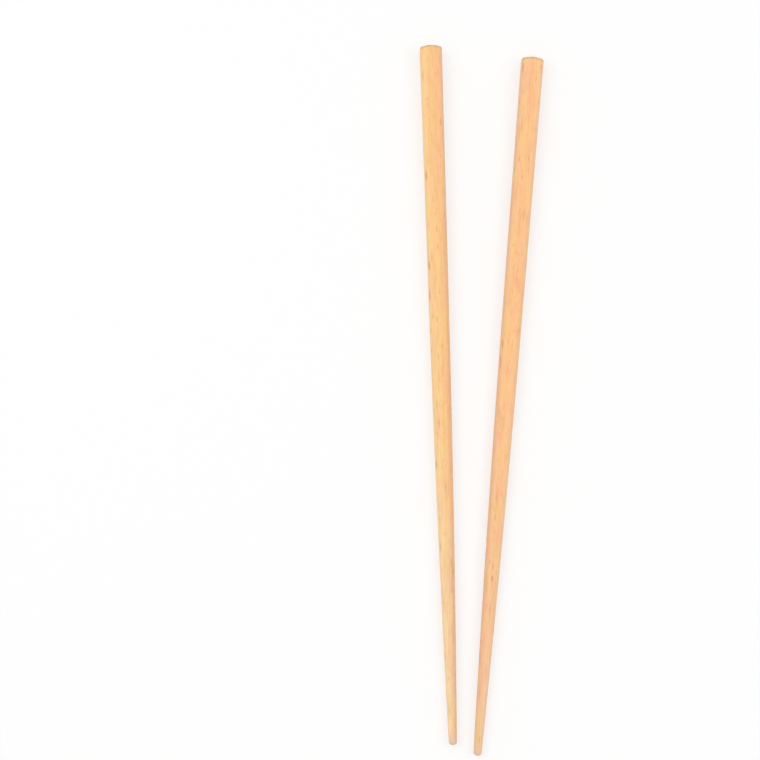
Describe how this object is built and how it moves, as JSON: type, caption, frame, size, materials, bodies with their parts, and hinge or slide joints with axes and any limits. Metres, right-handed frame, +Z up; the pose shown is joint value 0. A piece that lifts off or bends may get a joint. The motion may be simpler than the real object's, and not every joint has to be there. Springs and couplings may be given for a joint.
{
  "type": "pair of chopsticks",
  "caption": "Slim tapered wooden chopsticks with square, round-cornered handles and small rounded tips, laid flat in a narrow V, for picking up food.",
  "frame": {"origin": "on the table, under the middle of the pair's outline", "axes": "+Z up from the table, +Y from the tips towards the butts, +X across the pair"},
  "size_m": [0.0404, 0.2276, 0.0071],
  "materials": {
    "golden_wood": "sanded smooth, satin",
    "peach_wood": "sanded smooth, satin"
  },
  "bodies": {
    "root": {"left_chopstick": "golden_wood", "right_chopstick": "peach_wood"}
  },
  "joints": []
}
